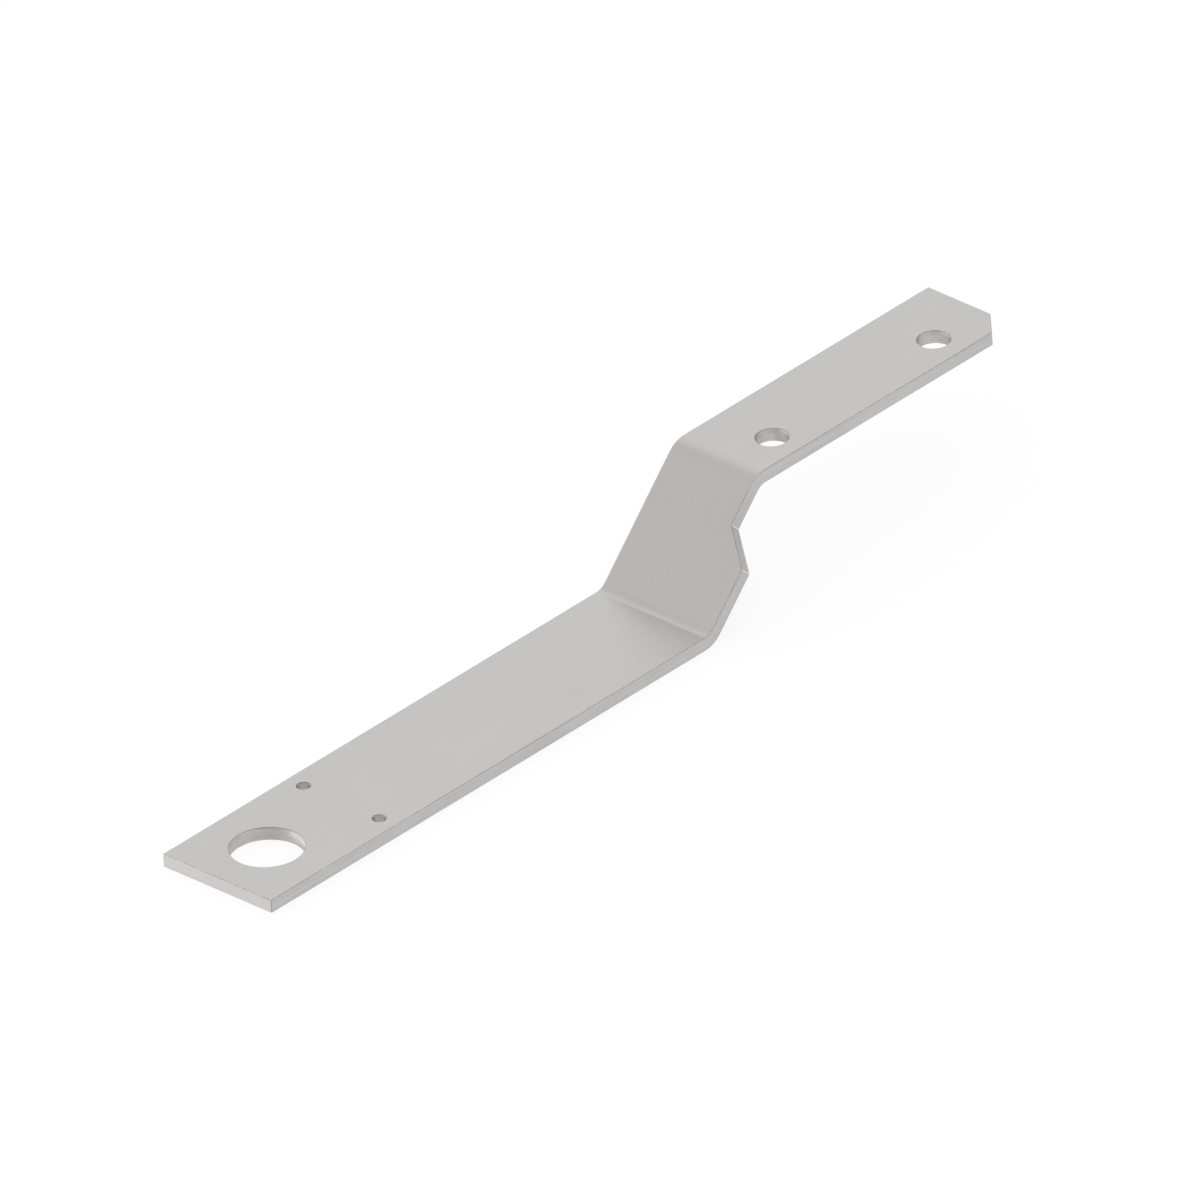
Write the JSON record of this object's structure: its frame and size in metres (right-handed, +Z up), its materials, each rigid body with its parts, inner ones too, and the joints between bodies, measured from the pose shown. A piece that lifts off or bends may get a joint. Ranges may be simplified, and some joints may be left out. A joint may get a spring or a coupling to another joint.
{
  "type": "fan adjustment bracket",
  "caption": "Flat steel strip folded into a joggle: a wide arm with a large pivot hole, a stepped ramp and a narrow arm with bolt holes.",
  "frame": {"origin": "centre of the pivot hole, on the underside of the wide arm", "axes": "+X along the strip from the wide end to the narrow end, +Y across it towards its straight long edge, +Z up along the pivot hole, towards the side that the narrow arm is raised to"},
  "size_m": [0.31, 0.04, 0.036],
  "materials": {
    "steel": "bare satin steel, light warm grey, with cut edges a little brighter than the rolled faces"
  },
  "bodies": {
    "root": {"bracket": "steel"}
  },
  "joints": []
}
